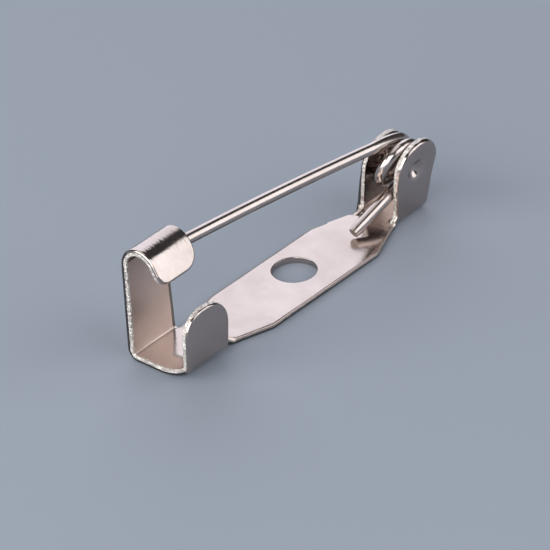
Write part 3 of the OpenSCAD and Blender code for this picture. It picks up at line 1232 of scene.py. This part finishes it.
@dataclass
class SpringWire:
    """Pin, coil and short leg: one wire along a path.

    The path is worked out in the hinge's own frame. Its middle is the coil's
    middle, its first axis runs along the bar, its second along the coil's axis
    and its third up the ears. Lengths are in mm and angles in degrees.
    """

    wire_d: float = 0.8
    # hinge: the x and z of the dimples in the leaning ears, and how far the coil has settled off them
    sheet_t: float = 0.45
    mid_y: float = -0.3
    lean: float = 9.5
    dimples: tuple[float, float] = (9.8, 3.95)
    settled: tuple[float, float] = (-0.4, 0.3)
    dimple_r: float = 0.5
    eye_play: float = 0.09
    turn_gap: float = 0.1
    near_play: float = 0.06
    far_play: float = 0.1
    # pin: a place on it under the hook, the wide last bend of the coil, its bow and its point
    pin_aim: tuple[float, float, float] = (-11.475, 0.5167, 7.6184)
    tip_x: float = -12.75
    shoulder_r: float = 10.0
    shoulder_start: float = 69.0
    bow_r: float = 260.0
    set_r: float = 2.0
    point_len: float = 2.4
    tip_share: float = 0.15
    point_power: float = 0.8
    # short leg: the place of its end, just over the base
    leg_aim: tuple[float, float, float] = (5.1, -0.72, 0.88)
    end_rounding: float = 0.09
    end_inset: float = 0.14
    # spacing of the mesh
    sides: int = 40
    ring_step: float = 4.0
    set_points: int = 5
    leg_steps: int = 12
    shoulder_points: int = 14
    bow_points: int = 60
    tip_steps: int = 24
    name: str = "spring_wire"
    material: bpy.types.Material | None = None

    @property
    def coil_r(self) -> float:
        """Mean radius of the coil, whose eye lies round the dimples."""
        return math.hypot(*self.settled) + self.dimple_r + self.eye_play + self.wire_d / 2.0

    @property
    def half_gap(self) -> float:
        """Half the width between the ears."""
        return self.wire_d + (self.turn_gap + self.near_play + self.far_play) / 2.0

    @property
    def near_n(self) -> float:
        """The near turn's place along the coil's axis."""
        return self.near_play + self.wire_d / 2.0 - self.half_gap

    @property
    def far_n(self) -> float:
        """The far turn's place along the coil's axis."""
        return self.half_gap - self.far_play - self.wire_d / 2.0

    @property
    def coil_middle(self) -> np.ndarray:
        """The coil's middle in the bar's frame, halfway between the leaning ears.

        Returns:
            Its x, y and z.
        """
        x, z = np.add(self.dimples, self.settled)
        y = self.mid_y - (z - self.sheet_t / 2.0) * math.tan(math.radians(self.lean))
        return np.array([x, y, z])

    @property
    def shoulder_middle(self) -> np.ndarray:
        """The middle of the coil's wide last bend, in the hinge's frame.

        Returns:
            Its place along the bar, along the coil's axis and up the ears.
        """
        start = math.radians(self.shoulder_start)
        back = self.coil_r - self.shoulder_r
        return np.array([back * math.cos(start), self.far_n, back * math.sin(start)])

    def to_hinge(self, place: tuple[float, float, float]) -> np.ndarray:
        """Finds a place's coordinates in the hinge's frame.

        Args:
            place: its x, y and z.

        Returns:
            The place along the bar, along the coil's axis and up the ears.
        """
        tilt = math.radians(self.lean)
        x, y, z = np.subtract(place, self.coil_middle)
        axis = y * math.cos(tilt) + z * math.sin(tilt)
        up = z * math.cos(tilt) - y * math.sin(tilt)
        return np.array([x, axis, up])

    def side_turn(self, along: float, aside: float) -> float:
        """The sideways bend that ends in line with a point.

        Args:
            along, aside: where the point lies from the bend's start, ahead and sideways.

        Returns:
            The bend's angle, in radians.
        """
        left = self.set_r - abs(aside)
        return math.asin(self.set_r / math.hypot(along, left)) - math.atan2(left, along)

    def pin_departure(self) -> Departure:
        """How the pin leaves the shoulder, so that its bow takes it through its aim.

        Returns:
            The angle, the sideways turn and the length to the tip.
        """
        along, aside, up = self.to_hinge(self.pin_aim) - self.shoulder_middle
        far = math.hypot(along, up)
        inner = self.bow_r - self.shoulder_r
        bowed = math.acos((self.bow_r**2 - inner**2 - far**2) / (2.0 * inner * far))
        angle = math.atan2(up, along) - bowed
        turn = self.side_turn(math.sqrt(far**2 - self.shoulder_r**2), aside)
        start_x = self.coil_middle[0] + self.shoulder_middle[0] + self.shoulder_r * math.cos(angle)
        return Departure(math.degrees(angle), math.degrees(turn), (start_x - self.tip_x) / math.cos(turn))

    def leg_departure(self) -> Departure:
        """How the short leg leaves the coil, straight to the place of its end.

        Returns:
            The angle, the sideways turn and the length after it.
        """
        along, aside, up = self.to_hinge(self.leg_aim)
        far = math.hypot(along, up)
        angle = math.atan2(up, along) + math.acos(self.coil_r / far)
        straight = math.sqrt(far**2 - self.coil_r**2)
        turn = self.side_turn(straight, aside - self.near_n)
        length = (straight - self.set_r * math.sin(turn)) / math.cos(turn)
        return Departure(math.degrees(angle), math.degrees(turn), length)

    def ring(self, n0: float, n1: float, a0: float, a1: float) -> list[list[float]]:
        """Points round the coil, crossing from one turn to the next as a tilted ring does.

        Args:
            n0, n1: places along the coil's axis, where the points begin and end.
            a0, a1: angles, which are 90 and 270 where the wire crosses.

        Returns:
            The points after the first.
        """
        count = int(abs(a1 - a0) / self.ring_step)
        points = []
        for k in range(1, count + 1):
            a = math.radians(a0 + (a1 - a0) * k / count)
            n = (n0 + n1) / 2.0 + (n0 - n1) / 2.0 * math.sin(a)
            points.append([self.coil_r * math.cos(a), n, self.coil_r * math.sin(a)])
        return points

    def leaving(
        self, centre: np.ndarray, radius: float, way: float, departure: Departure
    ) -> tuple[np.ndarray, np.ndarray, np.ndarray]:
        """Follows a wire off a ring.

        Args:
            centre: the ring's middle.
            radius: the ring's radius.
            way: 1 to leave counter-clockwise, -1 clockwise.
            departure: where it leaves and how it turns sideways.

        Returns:
            Points of the sideways bend, the heading after it and the ring's outward direction.
        """
        a, b = math.radians(departure.angle), math.radians(departure.turn)
        out = np.array([math.cos(a), 0.0, math.sin(a)])
        ahead = way * np.array([-math.sin(a), 0.0, math.cos(a)])
        aside = np.array([0.0, 1.0, 0.0])
        start = centre + radius * out
        points = np.array([
            start + self.set_r * (math.sin(c) * ahead + (1.0 - math.cos(c)) * aside)
            for c in np.linspace(0.0, b, self.set_points)
        ])
        return points, math.cos(b) * ahead + math.sin(b) * aside, out

    def leg_path(self) -> list[np.ndarray]:
        """The short leg's middle line.

        Returns:
            Points from its end to the coil, in the hinge's frame.
        """
        leg = self.leg_departure()
        near = np.array([0.0, self.near_n, 0.0])
        bend, way, _ = self.leaving(near, self.coil_r, -1.0, leg)
        steps = range(self.leg_steps, 0, -1)
        return [bend[-1] + way * leg.length * k / self.leg_steps for k in steps] + list(bend[::-1])

    def coil_path(self) -> list[list[float]]:
        """The coil's middle line, from the short leg to the shoulder, in the hinge's frame."""
        return (
            self.ring(self.near_n, self.near_n, self.leg_departure().angle, 90.0)
            + self.ring(self.near_n, self.far_n, 90.0, 270.0)
            + self.ring(self.far_n, self.far_n, -90.0, self.shoulder_start)
        )

    def pin_path(self) -> list[np.ndarray]:
        """The middle line of the shoulder and the pin.

        Returns:
            Points from the coil to the pin's tip, in the hinge's frame.
        """
        pin = self.pin_departure()
        middle = self.shoulder_middle
        shoulder = [
            middle + self.shoulder_r * np.array([math.cos(a), 0.0, math.sin(a)])
            for a in np.radians(np.linspace(self.shoulder_start, pin.angle, self.shoulder_points))
        ]
        bend, way, out = self.leaving(middle, self.shoulder_r, 1.0, pin)
        centre = bend[-1] - self.bow_r * out
        turn = (pin.length - self.point_len) / self.bow_r
        bow = [
            centre + self.bow_r * (math.cos(c) * out + math.sin(c) * way)
            for c in np.linspace(0.0, turn, self.bow_points)
        ]
        end_way = math.cos(turn) * way - math.sin(turn) * out
        steps = range(1, self.tip_steps + 1)
        tip = [bow[-1] + end_way * self.point_len * k / self.tip_steps for k in steps]
        return shoulder[1:] + list(bend[1:]) + bow[1:] + tip

    def path(self) -> np.ndarray:
        """The wire's middle line.

        Returns:
            Rows of x, y and z from the short leg's end to the pin's tip, in mm.
        """
        tilt = math.radians(self.lean)
        along, axis, up = np.array([*self.leg_path(), *self.coil_path(), *self.pin_path()]).T
        across = axis * math.cos(tilt) - up * math.sin(tilt)
        upward = axis * math.sin(tilt) + up * math.cos(tilt)
        return self.coil_middle + np.stack([along, across, upward], axis=1)

    def empty_tree(self) -> bpy.types.NodeTree:
        """Makes the wire's tree with nothing but its sockets.

        Returns:
            The tree.
        """
        tree = bpy.data.node_groups.new("drawn_wire", "GeometryNodeTree")
        for way, kind, labels in (
            ("INPUT", "NodeSocketGeometry", ("Geometry",)),
            ("INPUT", "NodeSocketFloat", ("Wire Radius", "Point Length", "Tip Share", "End Rounding")),
            ("INPUT", "NodeSocketInt", ("Sides",)),
            ("INPUT", "NodeSocketMaterial", ("Finish",)),
            ("OUTPUT", "NodeSocketGeometry", ("Geometry",)),
        ):
            for label in labels:
                tree.interface.new_socket(name=label, in_out=way, socket_type=kind)
        return tree

    def tree(self) -> bpy.types.NodeTree:
        """Geometry Nodes that draw a wire along a curve, ground to a point at its end.

        Returns:
            The tree.
        """
        tree = self.empty_tree()
        nodes, links = tree.nodes, tree.links
        given = nodes.new("NodeGroupInput")
        result = nodes.new("NodeGroupOutput")
        spot = nodes.new("GeometryNodeSplineParameter")
        whole = nodes.new("GeometryNodeSplineLength")

        def math_node(operation: str, *values: float | bpy.types.NodeSocket) -> bpy.types.NodeSocket:
            """Adds one step of reckoning.

            Args:
                operation: the math node's operation.
                values: numbers or other nodes' outputs.

            Returns:
                The step's output.
            """
            node = nodes.new("ShaderNodeMath")
            node.operation = operation
            for socket, value in zip(node.inputs, values):
                if isinstance(value, bpy.types.NodeSocket):
                    links.new(value, socket)
                else:
                    socket.default_value = value
            return node.outputs[0]

        left = math_node("SUBTRACT", whole.outputs["Length"], spot.outputs["Length"])
        to_point = math_node("MINIMUM", math_node("DIVIDE", left, given.outputs["Point Length"]), 1.0)
        point = math_node("POWER", to_point, self.point_power)
        tip = math_node("MAXIMUM", point, given.outputs["Tip Share"])
        from_end = math_node("DIVIDE", spot.outputs["Length"], given.outputs["End Rounding"])
        end = math_node("MINIMUM", from_end, 1.0)
        blunt = math_node("MULTIPLY_ADD", end, self.end_inset, 1.0 - self.end_inset)
        size = math_node("MULTIPLY", tip, blunt)
        circle = nodes.new("GeometryNodeCurvePrimitiveCircle")
        sweep = nodes.new("GeometryNodeCurveToMesh")
        smooth = nodes.new("GeometryNodeSetShadeSmooth")
        real = nodes.new("GeometryNodeRealizeInstances")
        dress = nodes.new("GeometryNodeSetMaterial")
        sweep.inputs["Fill Caps"].default_value = True
        for source, target in (
            (given.outputs["Wire Radius"], circle.inputs["Radius"]),
            (given.outputs["Sides"], circle.inputs["Resolution"]),
            (given.outputs["Geometry"], sweep.inputs["Curve"]),
            (circle.outputs["Curve"], sweep.inputs["Profile Curve"]),
            (size, sweep.inputs["Scale"]),
            (sweep.outputs["Mesh"], smooth.inputs["Geometry"]),
            (smooth.outputs["Geometry"], real.inputs["Geometry"]),
            (real.outputs["Geometry"], dress.inputs["Geometry"]),
            (given.outputs["Finish"], dress.inputs["Material"]),
            (dress.outputs["Geometry"], result.inputs["Geometry"]),
        ):
            links.new(source, target)
        return tree

    def carrier(self) -> bpy.types.Object:
        """The wire's middle line as a curve object.

        Returns:
            The object, which the drawn wire replaces.
        """
        points = self.path() * MM
        curve = bpy.data.curves.new(self.name + "_path", "CURVE")
        curve.dimensions = "3D"
        spline = curve.splines.new("POLY")
        spline.points.add(len(points) - 1)
        spline.points.foreach_set("co", np.concatenate([points, np.ones((len(points), 1))], axis=1).ravel())
        return new_object(self.name + "_path", curve)

    def build(self) -> bpy.types.Object:
        """Draws the wire along its path.

        Returns:
            The finished mesh object.
        """
        carrier = self.carrier()
        modifier = carrier.modifiers.new("drawn_wire", "NODES")
        modifier.node_group = self.tree()
        values = {
            "Wire Radius": self.wire_d / 2.0 * MM,
            "Point Length": self.point_len * MM,
            "Tip Share": self.tip_share,
            "End Rounding": self.end_rounding * MM,
            "Sides": self.sides,
            "Finish": self.material,
        }
        for item in modifier.node_group.interface.items_tree:
            if item.in_out == "INPUT" and item.name in values:
                modifier[item.identifier] = values[item.name]
        bpy.context.view_layer.update()
        evaluated = carrier.evaluated_get(bpy.context.evaluated_depsgraph_get())
        mesh = bpy.data.meshes.new_from_object(evaluated)
        mesh.name = self.name
        bpy.data.objects.remove(carrier)
        return new_object(self.name, mesh)


# Floor, light and camera


@dataclass(frozen=True)
class Softbox:
    """A rectangular soft light that faces the object. Sizes are in metres."""

    name: str
    direction: tuple[float, float, float]
    width: float
    height: float
    power: float
    colour: tuple[float, float, float] = (1.0, 1.0, 1.0)
    distance: float = 0.35

    def build(self) -> None:
        """Puts the light on its place, turned to the object."""
        light = bpy.data.lights.new(self.name, "AREA")
        light.shape = "RECTANGLE"
        light.size, light.size_y = self.width, self.height
        light.energy = self.power
        light.color = self.colour
        away = Vector(self.direction).normalized()
        turn = away.to_track_quat("Z", "Y").to_matrix().to_4x4()
        new_object(self.name, light).matrix_world = Matrix.Translation(away * self.distance) @ turn


SKY_BLUE = (0.88, 0.90, 1.0)
COOL_WHITE = (0.95, 0.97, 1.0)
SOFTBOXES = (
    Softbox("back_softbox", (0.52, 0.74, 0.42), width=0.36, height=0.34, power=0.68, colour=SKY_BLUE),
    Softbox("front_softbox", (0.56, -0.74, 0.37), width=0.25, height=0.31, power=0.50, colour=COOL_WHITE),
    Softbox("side_softbox", (0.03, -0.79, 0.62), width=0.22, height=0.30, power=0.43, colour=COOL_WHITE),
    Softbox("left_softbox", (-0.90, 0.05, 0.42), width=0.60, height=0.32, power=2.4),
    Softbox("overhead", (-0.02, 0.32, 0.95), width=0.25, height=0.25, power=0.2),
)


@dataclass
class Studio:
    """Pale floor, soft lights and the camera at the photograph's angle.

    The camera's place is in mm and degrees, the floor and the clipping in metres.
    """

    azimuth: float = -47.05
    elevation: float = 32.68
    roll: float = -4.165
    distance: float = 316.83
    lens: float = 321.45
    target: tuple[float, float, float] = (-0.692, 1.094, 0.027)
    clipping: tuple[float, float] = (0.01, 20.0)
    floor_half: float = 3.0
    world_colour: tuple[float, float, float] = (0.055, 0.055, 0.058)
    softboxes: tuple[Softbox, ...] = SOFTBOXES

    def floor(self) -> None:
        """A wide plane just under the object."""
        half = self.floor_half
        corners = [(-half, -half, 0), (half, -half, 0), (half, half, 0), (-half, half, 0)]
        mesh = bpy.data.meshes.new("floor")
        mesh.from_pydata(corners, [], [(0, 1, 2, 3)])
        mesh.materials.append(FloorFinish().material())
        new_object("floor", mesh)

    def camera(self) -> None:
        """The camera, turned by its azimuth, elevation and roll about the target."""
        a, e, r = (math.radians(v) for v in (self.azimuth, self.elevation, self.roll))
        back = Vector((math.sin(a) * math.cos(e), -math.cos(a) * math.cos(e), math.sin(e)))
        right = Vector((math.cos(a), math.sin(a), 0.0))
        up = back.cross(right)
        right, up = math.cos(r) * right + math.sin(r) * up, math.cos(r) * up - math.sin(r) * right
        data = bpy.data.cameras.new("camera")
        data.lens = self.lens
        data.clip_start, data.clip_end = self.clipping
        place = (Vector(self.target) + back * self.distance) * MM
        turn = Matrix((right, up, back)).transposed().to_4x4()
        obj = new_object("camera", data)
        obj.matrix_world = Matrix.Translation(place) @ turn
        bpy.context.scene.camera = obj

    def world(self) -> None:
        """An even grey room."""
        world = bpy.data.worlds.new("studio")
        world.use_nodes = True
        fill_inputs(world.node_tree.nodes["Background"], {"Color": (*self.world_colour, 1.0)})
        bpy.context.scene.world = world

    def build(self) -> None:
        """Makes the whole studio."""
        bpy.context.scene.view_settings.view_transform = "Standard"
        self.camera()
        self.floor()
        self.world()
        for softbox in self.softboxes:
            softbox.build()


def main() -> None:
    """Builds the object's pieces and the studio round them."""
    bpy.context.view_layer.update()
    Studio().build()
    LOG.info("studio ready")
    base = BackPlate(materials=[BASE_FINISHES[skin].material() for skin in Skin]).build()
    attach(base, "base")
    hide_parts("back_plate")
    LOG.info("%s: %d faces", base.name, len(base.data.polygons))
    wire = SpringWire(material=WIRE_FINISH.material()).build()
    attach(wire, "pin")
    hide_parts("pin_wire")
    LOG.info("%s: %d faces", wire.name, len(wire.data.polygons))


if __name__ == "__main__":
    logging.basicConfig(level=logging.INFO)
    main()
